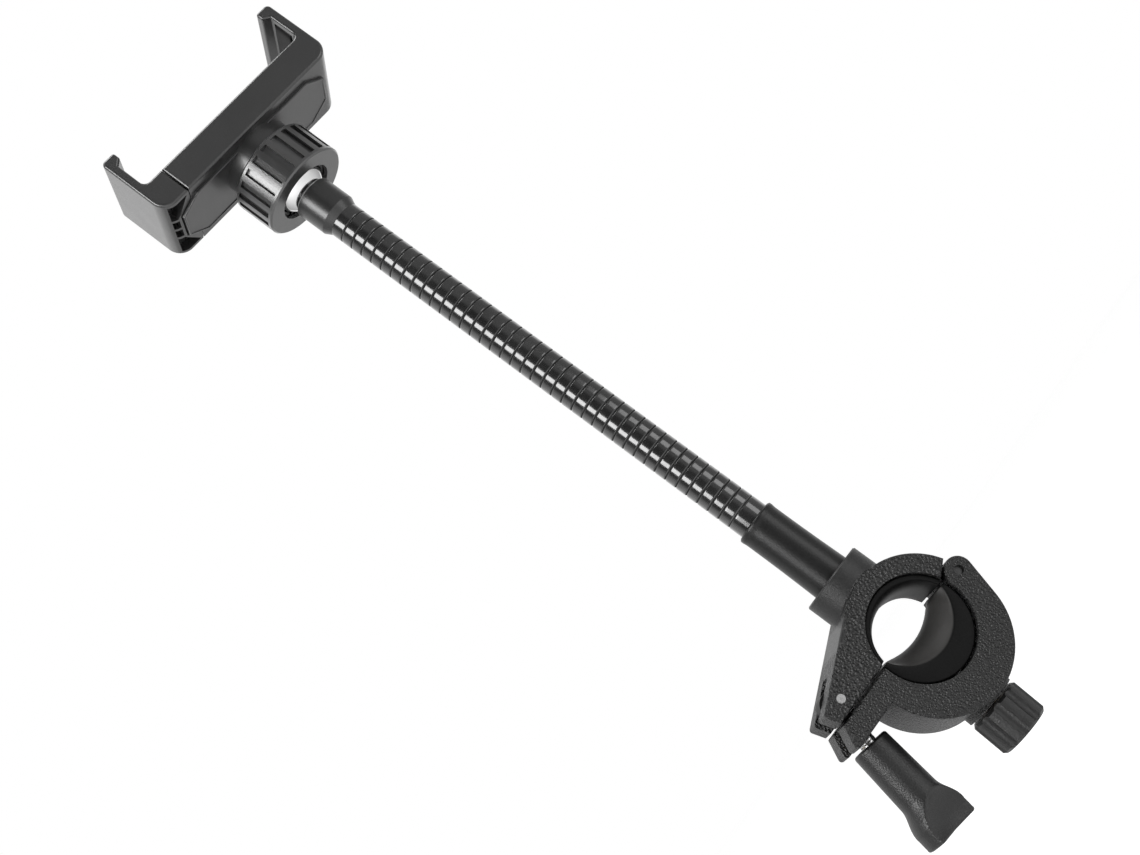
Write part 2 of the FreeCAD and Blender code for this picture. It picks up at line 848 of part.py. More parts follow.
def cover_screws():
    screws = []
    for x, y in post_places():
        shank = cylinder_z(cover_screw_radius, front_z - cover_screw_length, front_z, x, y)
        head = cylinder_z(cover_screw_head, front_z - cover_screw_head_height, front_z, x, y)
        screws.append(shank.fuse(head).removeSplitter())
    return Part.makeCompound(screws)


def front_pad():
    x0 = seam_x + front_pad_margin
    x1 = half_length - jaw_wall - jaw_root_round - front_pad_margin
    y = half_height - front_pad_margin
    corners = [(x0, -y), (x1, -y), (x1, y), (x0, y)]
    rounded = [(u, v, front_pad_margin) for u, v in corners]
    return plate_xy(rounded, front_z, front_z + front_pad_thickness)


def jaw_pad(side):
    x0, x1, y0, y1, z0, z1 = jaw_pad_pocket(side)
    inner = side * (half_length - jaw_wall + jaw_pad_recess - jaw_pad_thickness)
    return box(min(x0, inner), max(x1, inner), y0, y1, z0, z1)


def pocket_cuts():
    """Four moulded pockets across the sliding jaw's back: two large outer ones, two small ones."""
    out = -half_length + pocket_outer
    tip = seam_x - panel_tip - pocket_margin
    inner = seam_x - pocket_margin
    small_y = small_pocket_width + pocket_rib / 2
    large_y = small_y + pocket_rib
    edge_y = half_height - pocket_outer
    z0 = back_z - pocket_depth
    z1 = back_z + pocket_depth
    cuts = []
    for side in (-1, 1):
        small = [(out, side * pocket_rib / 2), (tip, side * pocket_rib / 2)]
        small += [(tip, side * small_y), (out, side * small_y)]
        large = [(out, side * large_y), (tip, side * large_y)]
        large += [(inner, side * edge_y), (out, side * edge_y)]
        cuts += [plate_xy(sharp(small), z0, z1), plate_xy(sharp(large), z0, z1)]
    return cuts


def sliding_jaw():
    edge_x = seam_x - seam_gap
    corners = [(edge_x, front_z, 0.0), (edge_x, back_z, 0.0)] + jaw_side(-1)
    body = plate_xz(corners, -half_height, half_height)
    body = round_edges(body, cradle_edge, lambda e: on_plane_y(e, -half_height) or on_plane_y(e, half_height))
    notch = plate_xy(panel_outline(panel_gap), back_z - panel_rise, back_z + cradle_wall + panel_gap)
    body = body.cut(notch)
    for pocket in pocket_cuts():
        body = body.cut(pocket)
    body = body.cut(box(*jaw_pad_pocket(-1)))
    for y in rod_places():
        body = body.cut(cylinder_x(rod_radius, edge_x - rod_seat, edge_x, y, rod_z))
    return body


def guide_rods():
    x0 = seam_x - seam_gap - rod_seat
    x1 = half_length - jaw_wall - jaw_root_round - cradle_wall - rod_end_room
    rods = []
    for y in rod_places():
        rod = cylinder_x(rod_radius, x0, x1, y, rod_z)
        head = cylinder_x(rod_head_radius, x1 - rod_head_length, x1, y, rod_z)
        rods.append(rod.fuse(head).removeSplitter())
    return Part.makeCompound(rods)


def jaw_spring(y):
    x0 = seam_x + cradle_wall
    x1 = half_length - jaw_wall - jaw_root_round - cradle_wall - rod_end_room - rod_head_length
    inner = max(spring_radius - spring_wire, rod_radius + spring_clearance)
    tube = cylinder_x(spring_radius, x0, x1, y, rod_z)
    return tube.cut(cylinder_x(inner, x0, x1, y, rod_z))


save(clamp_upper_half(), "clamp_upper_half")
save(clamp_lower_half(), "clamp_lower_half")
save(hinge_pin(), "hinge_pin")
save(swing_bolt_pin(), "swing_bolt_pin")
save(upper_pad(), "upper_pad")
save(pressure_pad(), "pressure_pad")
save(pad_screw(), "pad_screw")
save(screw_insert(), "screw_insert")
save(pad_knob(), "pad_knob")
save(swing_bolt(), "swing_bolt")
save(thumb_nut_insert(), "thumb_nut_insert")
save(thumb_nut(), "thumb_nut")
save(lower_core(), "lower_core")
save(lower_sleeve(), "lower_sleeve")
for link in range(link_count):
    save(neck_link(link), f"neck_link_{link + 1}")
save(upper_ferrule(), "upper_ferrule")
save(ball_stud(), "ball_stud")
save(ball_seat(), "ball_seat")
save(collar_nut(), "collar_nut")
save(cradle_housing(), "cradle_housing")
save(front_cover(), "front_cover")
save(cover_screws(), "cover_screws")
save(front_pad(), "front_pad")
save(jaw_pad(1), "fixed_jaw_pad")
save(sliding_jaw(), "sliding_jaw")
save(jaw_pad(-1), "sliding_jaw_pad")
save(guide_rods(), "guide_rods")
for place, y in zip(("front", "rear"), rod_places()):
    save(jaw_spring(y), f"jaw_spring_{place}")
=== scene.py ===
import json
import math

import bmesh
import bpy
import numpy as np
from mathutils import Matrix, Vector

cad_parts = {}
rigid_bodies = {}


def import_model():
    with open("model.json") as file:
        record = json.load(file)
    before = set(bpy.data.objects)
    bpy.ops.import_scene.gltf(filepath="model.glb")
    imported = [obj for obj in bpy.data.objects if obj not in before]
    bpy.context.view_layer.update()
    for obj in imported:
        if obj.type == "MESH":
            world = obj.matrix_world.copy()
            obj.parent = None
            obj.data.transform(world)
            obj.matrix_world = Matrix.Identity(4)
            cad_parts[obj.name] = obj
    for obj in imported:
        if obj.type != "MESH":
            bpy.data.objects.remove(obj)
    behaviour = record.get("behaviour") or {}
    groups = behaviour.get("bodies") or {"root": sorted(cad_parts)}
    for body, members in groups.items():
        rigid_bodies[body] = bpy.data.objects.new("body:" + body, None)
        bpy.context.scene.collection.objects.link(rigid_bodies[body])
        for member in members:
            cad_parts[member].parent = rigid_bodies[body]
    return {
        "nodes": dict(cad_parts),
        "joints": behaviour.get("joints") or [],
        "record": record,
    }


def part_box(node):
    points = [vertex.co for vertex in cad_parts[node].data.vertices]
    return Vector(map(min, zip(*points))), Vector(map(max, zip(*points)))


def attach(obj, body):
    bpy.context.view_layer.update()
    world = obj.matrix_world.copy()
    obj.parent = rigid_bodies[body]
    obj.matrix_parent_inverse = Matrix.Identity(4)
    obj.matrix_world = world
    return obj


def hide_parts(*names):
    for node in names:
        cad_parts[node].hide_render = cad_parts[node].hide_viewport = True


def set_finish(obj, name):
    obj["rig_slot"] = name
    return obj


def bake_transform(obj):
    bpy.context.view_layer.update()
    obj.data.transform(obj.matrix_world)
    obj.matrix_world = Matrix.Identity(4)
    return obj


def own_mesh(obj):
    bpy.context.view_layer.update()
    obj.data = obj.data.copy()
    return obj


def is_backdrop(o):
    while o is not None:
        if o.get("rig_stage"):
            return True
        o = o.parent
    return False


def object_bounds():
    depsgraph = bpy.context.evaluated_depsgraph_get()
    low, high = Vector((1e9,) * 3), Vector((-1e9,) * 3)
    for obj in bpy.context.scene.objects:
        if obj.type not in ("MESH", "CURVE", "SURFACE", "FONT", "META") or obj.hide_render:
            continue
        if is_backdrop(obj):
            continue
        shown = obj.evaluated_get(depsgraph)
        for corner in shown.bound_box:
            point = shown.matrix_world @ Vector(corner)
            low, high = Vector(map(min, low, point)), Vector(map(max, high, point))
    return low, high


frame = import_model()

mm = 0.001
cadLow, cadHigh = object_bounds()
fullTurn, quarterTurn = 2 * math.pi, math.pi / 2
nodes = frame["nodes"]
joints = {j["name"]: j for j in frame["joints"]}
print("frame loaded with", len(nodes), "nodes")


# Surfaces

mergeDistance = 0.0002 * mm
tiny = 1e-6  # keeps a division from zero


def gridPiece(name, points, slot, smoothAngle, mark=None):
    # rows follow the first index, the second one runs round and is joined to its start.
    # the mark is a number at each point, which the piece's material reads
    rows, columns = points.shape[:2]
    index = np.arange(rows * columns).reshape(rows, columns)
    here, above = index[:-1], index[1:]
    quads = np.stack([here, np.roll(here, -1, 1), np.roll(above, -1, 1), above], axis=-1)
    mesh = bpy.data.meshes.new(name)
    mesh.from_pydata(points.reshape(-1, 3).tolist(), [], quads.reshape(-1, 4).tolist())
    if mark is not None:
        marks = np.ascontiguousarray(np.broadcast_to(mark, (rows, columns)), dtype=np.float32)
        mesh.attributes.new("mark", "FLOAT", "POINT").data.foreach_set("value", marks.ravel())
    shape = bmesh.new()
    shape.from_mesh(mesh)
    bmesh.ops.remove_doubles(shape, verts=shape.verts, dist=mergeDistance)
    bmesh.ops.recalc_face_normals(shape, faces=shape.faces)
    shape.to_mesh(mesh)
    shape.free()
    mesh.shade_smooth()
    mesh.set_sharp_from_angle(angle=math.radians(smoothAngle))
    piece = bpy.data.objects.new(name, mesh)
    bpy.context.scene.collection.objects.link(piece)
    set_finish(piece, slot)
    return piece


def closedEnds(points):
    # each end row shrinks to its own middle, which closes the tube
    first = np.broadcast_to(points[:1].mean(1, keepdims=True), points[:1].shape)
    last = np.broadcast_to(points[-1:].mean(1, keepdims=True), points[-1:].shape)
    return np.concatenate([first, points, last])


def crossAxes(axis):
    # two unit directions square to the axis and to each other, and the axis at unit length
    along = np.array(axis, float) / np.linalg.norm(axis)
    side = np.cross(along, (0.0, 1.0, 0.0))
    side /= np.linalg.norm(side)
    return side, np.cross(along, side), along


def turnedPoints(radius, height, origin=(0, 0, 0), axis=(0, 0, 1), segments=72):
    # a radius over height and turn, carried round an axis through the origin point
    turn = np.linspace(0, fullTurn, segments, endpoint=False)
    side, other, along = crossAxes(axis)
    flat = side * np.cos(turn)[:, None] + other * np.sin(turn)[:, None]
    rows = np.asarray(radius, float).reshape(len(height), -1)
    reach = np.broadcast_to(rows, (len(height), segments))
    return np.array(origin) + reach[..., None] * flat + np.asarray(height)[:, None, None] * along


def easeStep(x, low, high):
    # 0 below low, 1 above high, smooth between
    t = np.clip((x - low) / (high - low), 0, 1)
    return t * t * (3 - 2 * t)


# Ringed neck: one tube per bend, which reaches from the middle of one link to the middle of the next

neck = {
    "rings": 5,  # to a link
    "cover": 0.14 * mm,  # outside the links
    "grooveDepth": 0.30 * mm,
    "grooveWidth": 0.24 * mm,
    "plainEnd": 6.0 * mm,
    "rowsToRing": 22,
    "rowDecimals": 8,  # rows that agree to these, in metres, are one
    "crowding": 0.8,  # of the rows at the grooves
    "tuck": 0.9 * mm,  # into the rubber boot
    "blendMargin": 0.02 * mm,
    "smoothAngle": 60,
}


def grooveShare(height, low, high, pitch):
    # a bell at every ring, which fades out towards both ends
    offset = (height - low) / pitch
    away = (offset - np.round(offset)) * pitch
    rise = easeStep(height, low, low + neck["plainEnd"])
    fall = easeStep(height, high - neck["plainEnd"], high)
    return rise * (1 - fall) * np.exp(-((away / neck["grooveWidth"]) ** 2))


def ringRows(low, high, start, pitch):
    # even steps less a sine of one ring's length, which crowds the rows at the grooves.
    # the first and last step are counted in half rings
    first, last = math.floor((low - start) / pitch * 2), math.ceil((high - start) / pitch * 2)
    step = 2 / neck["rowsToRing"]
    phase = np.arange(first, last + step / 4, step) / 2
    height = start + pitch * (phase - neck["crowding"] * np.sin(fullTurn * phase) / fullTurn)
    rows = np.concatenate([[low, high], np.clip(height, low, high)])
    return np.unique(np.round(rows, neck["rowDecimals"]))


bends = [j for name, j in joints.items() if name.startswith("neck_bend_")]
bends.sort(key=lambda j: j["pos_m"][2])
bendHeights = [j["pos_m"][2] for j in bends]
linkLength = bendHeights[1] - bendHeights[0]
neckLow, neckHigh = bendHeights[0], bendHeights[-1] + linkLength
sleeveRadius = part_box("neck_link_1")[1].x + neck["cover"]
ringPitch = linkLength / neck["rings"]
cuts = [neckLow - neck["tuck"]] + [h + linkLength / 2 for h in bendHeights] + [neckHigh]
for number, (low, high) in enumerate(zip(cuts, cuts[1:]), start=1):
    height = ringRows(low, high, neckLow, ringPitch)
    groove = grooveShare(height, neckLow, neckHigh, ringPitch)
    points = closedEnds(turnedPoints(sleeveRadius - neck["grooveDepth"] * groove, height))
    groove = np.concatenate([groove[:1], groove, groove[-1:]])[:, None]
    sleeve = gridPiece(f"neck_sleeve_{number}", points, "neck_sleeve", neck["smoothAngle"], groove)
    if number <= len(bends):
        bend = bends[number - 1]
        Vector((0, 0, low + neck["blendMargin"]))
        Vector((0, 0, high - neck["blendMargin"]))
        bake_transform(sleeve)
        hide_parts(f"neck_link_{number}")
    else:
        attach(sleeve, bends[-1]["child"])
print("neck sleeve made of", len(cuts) - 1, "pieces")


# Rubber boot below the neck

boot = {
    "sunk": 1.0 * mm,  # into the clamp's boss
    "taper": 0.3 * mm,
    "waist": 0.12 * mm,
    "lip": 0.9 * mm,
    "lipSwell": 0.16 * mm,
    "edge": 0.5 * mm,
    "rows": 90,
    "smoothAngle": 50,
}
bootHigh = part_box("lower_sleeve")[1]
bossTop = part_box("clamp_upper_half")[1].z
height = np.linspace(bossTop - boot["sunk"], bootHigh.z, boot["rows"])
share = (height - height[0]) / (height[-1] - height[0])
# a straight taper, drawn in along the middle, with a swollen lip and a rounded edge at the top
radius = bootHigh.x - boot["taper"] * share - boot["waist"] * np.sin(math.pi * share)
radius = radius + boot["lipSwell"] * np.exp(-(((height - height[-1] + boot["lip"]) / boot["lip"]) ** 2))
toEdge = np.clip(1 - (height[-1] - height) / boot["edge"], 0, 1)
radius = radius - boot["edge"] * (1 - np.sqrt(1 - toEdge ** 2))
points = closedEnds(turnedPoints(radius, height))
bootPiece = gridPiece("rubber_boot", points, "sleeve_rubber", boot["smoothAngle"])
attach(bootPiece, "clamp_body")
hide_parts("lower_sleeve")
print("rubber boot made")


# Threads of the swing bolt and of the pressure screw

thread = {
    "pitch": 0.8 * mm,
    "depth": 0.30 * mm,
    "sunk": 0.18 * mm,
    "rowsToTurn": 12,
    "segments": 48,
    "smoothAngle": 25,
}
boltThread = {"radius": 2.5 * mm, "low": 8.0 * mm, "high": 35.0 * mm}  # along the bolt from its pin
screwThread = {"radius": 3.0 * mm, "low": 18.5 * mm, "high": 34.0 * mm}  # down the screw from the bore's axis


def threadPiece(name, body, origin, axis, size):
    # the radius is a triangle wave of the height along the axis less the turn, so the ridge climbs as a screw
    low, high, pitch = size["low"], size["high"], thread["pitch"]
    along = np.linspace(low, high, round((high - low) / pitch * thread["rowsToTurn"]) + 1)
    turn = np.arange(thread["segments"]) / thread["segments"]
    phase = along[:, None] / pitch - turn
    ridge = np.abs(2 * (phase - np.floor(phase)) - 1)
    fade = np.minimum(easeStep(along, low, low + pitch), 1 - easeStep(along, high - pitch, high))
    reach = size["radius"] - thread["sunk"] + thread["depth"] * ridge * fade[:, None]
    points = closedEnds(turnedPoints(reach, along, origin, axis, thread["segments"]))
    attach(gridPiece(name, points, "steel", thread["smoothAngle"]), body)


boltAxis = joints["nut_travel"]["axis"]
boltPivot = joints["bolt_swing"]["pos_m"]
threadPiece("bolt_thread", "swing_bolt", boltPivot, boltAxis, boltThread)
screwAxis = [-c for c in joints["pad_slide"]["axis"]]
screwPivot = joints["knob_turn"]["pos_m"]
threadPiece("screw_thread", "pad_knob", screwPivot, screwAxis, screwThread)
print("threads made")


# Thumb nut: a tapered shank that swells into a flare with a finger hollow on either side

nut = {
    "topRadius": 5.7 * mm,
    "shankRadius": 6.2 * mm,
    "flareRadius": 8.6 * mm,
    "flareStart": 18.0 * mm,  # from the top
    "flareFull": 26.0 * mm,
    "edge": 0.8 * mm,
    "web": 4.6 * mm,  # between the hollows
    "hollowRadius": 12.0 * mm,
    "hollowRise": 2.6 * mm,  # of its deepest place above the nut's end
    "hollowDish": 24.0,  # in 1/m, how fast the hollow's sides rise
    "crease": 22.0,  # the power that joins outline and hollow
    "turn": math.radians(20.0),
    "pocketRadius": 4.05 * mm,
    "pocketDepth": 8.3 * mm,
    "boreRadius": 2.9 * mm,
    "boreDepth": 16.0 * mm,
    "segments": 180,
    "rows": 110,
    "edgeRows": 6,
    "smoothAngle": 35,
}


def nutReach(depth, turn, length):
    # the smaller of the turned outline and the hollow, by a high power, which keeps a slightly rounded crease.
    # the hollow's floor lies an arc away from the middle plane and rises as a parabola towards its sides
    taper = np.clip(depth / nut["flareStart"], 0, 1)
    outline = nut["topRadius"] + (nut["shankRadius"] - nut["topRadius"]) * taper
    swell = easeStep(depth, nut["flareStart"], nut["flareFull"])
    outline = outline + (nut["flareRadius"] - nut["shankRadius"]) * swell
    away = np.clip(np.abs(depth - length + nut["hollowRise"]), 0, nut["hollowRadius"])
    floor = nut["web"] / 2 + nut["hollowRadius"] - np.sqrt(nut["hollowRadius"] ** 2 - away ** 2)
    facing, sideways = np.abs(np.sin(turn)), nut["hollowDish"] * np.cos(turn) ** 2 + tiny
    inside = facing ** 2 - 4 * sideways * floor
    hollow = (facing - np.sqrt(np.maximum(inside, 0))) / (2 * sideways)
    ratio = np.where(inside > 0, outline / np.maximum(hollow, tiny), 0)
    return outline / (1 + ratio ** nut["crease"]) ** (1 / nut["crease"])


def nutPiece(axis, pivot):
    # rows run from the bore's floor up through the pocket and down the outside, with a quarter circle at each rim
    mesh = nodes["thumb_nut"].data
    corners = np.empty(len(mesh.vertices) * 3)
    mesh.vertices.foreach_get("co", corners)
    along = (corners.reshape(-1, 3) - np.array(pivot)) @ np.array(axis)
    top, length = along.min(), along.max() - along.min()
    turn = (np.linspace(0, fullTurn, nut["segments"], endpoint=False) + nut["turn"])[None]
    bend = np.linspace(0, quarterTurn, nut["edgeRows"])
    fromEnd, cut = nut["edge"] * (1 - np.cos(bend)), nut["edge"] * (1 - np.sin(bend))
    shank = np.linspace(nut["edge"], length - nut["edge"], nut["rows"])[1:-1]
    depth = np.concatenate([fromEnd, shank, length - fromEnd[::-1]])
    inset = np.concatenate([cut, np.zeros_like(shank), cut[::-1]])
    outside = nutReach(depth[:, None], turn, length) - inset[:, None]
    inner = [(nut["boreRadius"], nut["boreDepth"]), (nut["boreRadius"], nut["pocketDepth"]),
             (nut["pocketRadius"], nut["pocketDepth"]), (nut["pocketRadius"], 0.0)]
    radius, place = np.array(inner).T
    reach = np.concatenate([np.broadcast_to(radius[:, None], (len(inner), nut["segments"])), outside])
    height = top + np.concatenate([place, depth])
    points = closedEnds(turnedPoints(reach, height, pivot, axis, nut["segments"]))
    piece = gridPiece("nut_grip", points, "nut_plastic", nut["smoothAngle"])
    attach(piece, "thumb_nut")
    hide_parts("thumb_nut")


nutPiece(boltAxis, boltPivot)
print("thumb nut made")


# Springs of the sliding jaw

spring = {
    "turns": 15,
    "wire": 0.38 * mm,  # its radius
    "deadTurns": 1.25,  # at each end
    "deadShare": 0.034,  # of the length, taken up by the dead turns of one end
    "rowsToTurn": 28,
    "segments": 12,
    "smoothAngle": 60,
}


def springPiece(name, node):
    # a round wire carried along a helix, whose climb is slow in the dead turns at both ends
    low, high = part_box(node)
    middle, wire = (low + high) / 2, spring["wire"]
    coil = (high.z - low.z) / 2 - wire
    turns = np.linspace(0, spring["turns"], spring["turns"] * spring["rowsToTurn"])
    stops = [0, spring["deadTurns"], spring["turns"] - spring["deadTurns"], spring["turns"]]
    climb = np.interp(turns, stops, [0, spring["deadShare"], 1 - spring["deadShare"], 1])
    place = low.x + wire + climb * (high.x - low.x - 2 * wire)
    angle = fullTurn * turns
    outward = np.stack([np.zeros_like(angle), np.cos(angle), np.sin(angle)], axis=-1)
    axis = np.stack([place, np.full_like(angle, middle.y), np.full_like(angle, middle.z)], axis=-1)
    centre = axis + coil * outward
    around = np.linspace(0, fullTurn, spring["segments"], endpoint=False)[:, None]
    ring = outward[:, None, :] * np.cos(around) + np.array([1.0, 0.0, 0.0]) * np.sin(around)
    points = closedEnds(centre[:, None, :] + wire * ring)
    piece = gridPiece(name, points, "spring_steel", spring["smoothAngle"])
    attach(piece, "cradle")
    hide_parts(node)
    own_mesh(piece)


springPiece("spring_front", "jaw_spring_front")
springPiece("spring_rear", "jaw_spring_rear")
print("springs made")


# Rubber pads in the clamp

barMount = next(m for m in frame["record"]["mounts"] if m["name"] == "bar_clamp")
barRadius = barMount["dims"]["r_mm"] * mm
boreHeight = screwPivot[2]
clampPad = {
    "edge": 0.6 * mm,
    "blend": 0.6 * mm,  # between crest and tips
    "tipWidth": 1.6 * mm,
    "columns": 141,
    "rows": 60,
    "edgeRows": 7,
    "smoothAngle": 50,
}
upperPad = {
    "crest": barRadius + 0.1 * mm,
    "arc": 14.4 * mm,
    "drop": 2.2 * mm,  # from the crest to the rims
    "fall": 4,  # the power by which the face leaves the crest
    "tipRise": 0.0,
    "backRadius": 15.35 * mm,
    "grip": 0.0,
}
lowerPad = {
    "crest": barRadius,
    "arc": 19.0 * mm,
    "drop": 7.1 * mm,
    "fall": 2,
    "tipRise": 0.65 * mm,
    "backRadius": 14.95 * mm,
    # the lower pad's face carries the painted sheen
    "grip": 1.0,
    "keep": 0.87,  # of its height when it is drawn right down
}


def arcHeight(x, top, radius):
    # a circle's upper half, over its width
    return top - radius + np.sqrt(radius ** 2 - x ** 2)


def saddlePiece(name, node, body, sign, end, pad):
    # heights are counted from the bar's axis towards the pad's back, so the lower pad has its sign turned over.
    # the crest is an arc that meets flat tips, the front and rear rims are a deeper arc between the same tips,
    # and the face goes from the crest to the rims by a power of the depth. The round back closes the section
    depth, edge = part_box(node)[1].y, clampPad["edge"]
    backHeight = sign * boreHeight
    tipHeight = sign * end - pad["tipRise"]
    spread = math.acos((tipHeight - backHeight) / pad["backRadius"])
    tipX = pad["backRadius"] * math.sin(spread) - clampPad["tipWidth"]
    x = np.linspace(-tipX, tipX, clampPad["columns"])
    over = arcHeight(x, pad["crest"], pad["arc"]) - tipHeight
    crest = tipHeight + (over + np.sqrt(over ** 2 + clampPad["blend"] ** 2)) / 2
    deep = pad["crest"] + pad["drop"] - tipHeight
    rim = arcHeight(x, tipHeight + deep, (tipX ** 2 + deep ** 2) / (2 * deep))
    bend = np.linspace(0, quarterTurn, clampPad["edgeRows"])
    rimRows, cut = depth - edge + edge * np.sin(bend), edge * (1 - np.cos(bend))
    inner = np.linspace(edge - depth, depth - edge, clampPad["rows"])
    y = np.concatenate([-rimRows[:0:-1], inner, rimRows[1:]])
    inset = np.concatenate([cut[:0:-1], np.zeros_like(inner), cut[1:]])[:, None, None]
    face = crest + (np.maximum(rim, crest) - crest) * (np.abs(y[:, None]) / depth) ** pad["fall"]
    turn = np.linspace(spread, -spread, clampPad["columns"])
    back = backHeight + pad["backRadius"] * np.cos(turn)
    across = np.concatenate([x, pad["backRadius"] * np.sin(turn)])
    height = np.concatenate([face, np.broadcast_to(back, face.shape)], axis=1)
    flat = np.stack([np.broadcast_to(across, height.shape), height], axis=-1)
    # near the front and rear the section draws in by a quarter circle, and ends on its own middle line
    slope = np.roll(flat, -1, 1) - np.roll(flat, 1, 1)
    slope /= np.linalg.norm(slope, axis=2, keepdims=True)
    flat = flat + inset * np.stack([-slope[..., 1], slope[..., 0]], axis=-1)
    along = np.broadcast_to(y[:, None], height.shape)
    points = np.stack([flat[..., 0], along, sign * flat[..., 1]], axis=-1)
    middle = (points + points[:, ::-1]) / 2
    points = np.concatenate([middle[:1], points, middle[-1:]])
    # the gripping face is marked for a painted sheen, less and less towards the rounded edges
    rowGrip = np.pad(1 - inset[:, 0, 0] / edge, 1) ** 2 * pad["grip"]
    grip = rowGrip[:, None] * np.concatenate([np.ones_like(x), np.zeros_like(turn)])
    piece = gridPiece(name, points, "pad_rubber", clampPad["smoothAngle"], grip)
    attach(piece, body)
    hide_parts(node)
    return piece


saddlePiece("upper_pad_rubber", "upper_pad", "clamp_body", 1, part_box("upper_pad")[0].z, upperPad)
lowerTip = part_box("pressure_pad")[1].z
pressed = saddlePiece("pressure_pad_rubber", "pressure_pad", "pressure_pad", -1, lowerTip, lowerPad)
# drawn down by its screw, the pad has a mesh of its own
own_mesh(pressed)
print("clamp pads made")


# Rubber pads in the cradle

slab = {
    "sharpness": 14,  # the power of the rim's fall
    "corner": 0.07,
    "ridge": 0.10 * mm,
    "ridgePitch": 2.4 * mm,
    "rows": 150,
    "columns": 90,
    "smoothAngle": 60,
}


def rimFall(t):
    return np.sqrt(np.maximum(1 - np.abs(t) ** slab["sharpness"], 0))


def slabPiece(name, node, body, normal, ridged):
    # a flat-backed sheet: its height over the back is full inside and falls to nothing at the rim by a steep power,
    # its corners are drawn in by a squircle, and ridges run across it as a cosine
    low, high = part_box(node)
    middle, size = (low + high) / 2, (high - low) / 2
    thin = max(range(3), key=lambda k: abs(normal[k]))
    wide, tall = [k for k in range(3) if k != thin]
    u = np.sin(np.linspace(-quarterTurn, quarterTurn, slab["rows"]))[:, None]
    loop = np.sin(np.linspace(-quarterTurn, quarterTurn, slab["columns"]))
    v = np.concatenate([loop, loop[-2:0:-1]])[None]
    onTop = np.concatenate([np.ones(slab["columns"]), np.zeros(slab["columns"] - 2)])[None]
    a = size[wide] * u * np.sqrt(1 - slab["corner"] * v ** 2)
    b = size[tall] * v * np.sqrt(1 - slab["corner"] * u ** 2)
    wave = (1 - np.cos(fullTurn * a / slab["ridgePitch"])) / 2
    rise = rimFall(u) * rimFall(v) * (2 * size[thin] - ridged * slab["ridge"] * wave) * onTop
    points = np.empty(rise.shape + (3,))
    points[..., wide] = middle[wide] + a
    points[..., tall] = middle[tall] + b
    points[..., thin] = middle[thin] + normal[thin] * (rise - size[thin])
    piece = gridPiece(name, points, "pad_rubber", slab["smoothAngle"])
    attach(piece, body)
    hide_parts(node)


slabPiece("front_pad_rubber", "front_pad", "cradle", (0, 0, 1), 1)
slabPiece("fixed_jaw_rubber", "fixed_jaw_pad", "cradle", (-1, 0, 0), 0)
slabPiece("sliding_jaw_rubber", "sliding_jaw_pad", "sliding_jaw", (1, 0, 0), 0)
print("cradle pads made")


# Bead round the raised panel on the cradle's back

panelBead = {
    "tip": 31.0 * mm,  # from the middle to the panel's short edge
    "tipHalf": 5.5 * mm,
    "shoulder": 24.0 * mm,
    "half": 11.0 * mm,
    "panelRise": 0.7 * mm,
    "inset": 0.40 * mm,
    "radius": 0.36 * mm,
    "rise": 0.28 * mm,
    "segments": 16,
    "smoothAngle": 30,
}


def beadPiece():
    # a round bead along the eight edges: each corner moves along its mitre, the sum of the edges' unit normals
    # over one plus their product, and the section turns in the plane of that mitre and the height
    tip, shoulder = panelBead["tip"], panelBead["shoulder"]
    narrow, wide = panelBead["tipHalf"], panelBead["half"]
    right = np.array([(shoulder, -wide), (tip, -narrow), (tip, narrow), (shoulder, wide)])
    corners = np.concatenate([right, -right])
    edge = np.roll(corners, -1, 0) - corners
    edge /= np.linalg.norm(edge, axis=1, keepdims=True)
    after = np.stack([edge[:, 1], -edge[:, 0]], axis=-1)
    before = np.roll(after, 1, 0)
    mitre = (before + after) / (1 + (before * after).sum(1, keepdims=True))
    turn = np.linspace(0, fullTurn, panelBead["segments"] + 1)[:, None]
    out = panelBead["radius"] * np.cos(turn) - panelBead["inset"]
    flat = corners + out[..., None] * mitre
    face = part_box("sliding_jaw")[0].z - panelBead["panelRise"]
    height = face + panelBead["radius"] * (1 + np.sin(turn)) - panelBead["rise"]
    points = np.concatenate([flat, np.broadcast_to(height, flat.shape[:2])[..., None]], axis=-1)
    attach(gridPiece("panel_bead", points, "cradle_plastic", panelBead["smoothAngle"]), "cradle")


beadPiece()
print("panel bead made")


# Materials

midRange, wideRange = (0.3, 0.7), (0.2, 0.8)  # of a noise, where most of its values lie


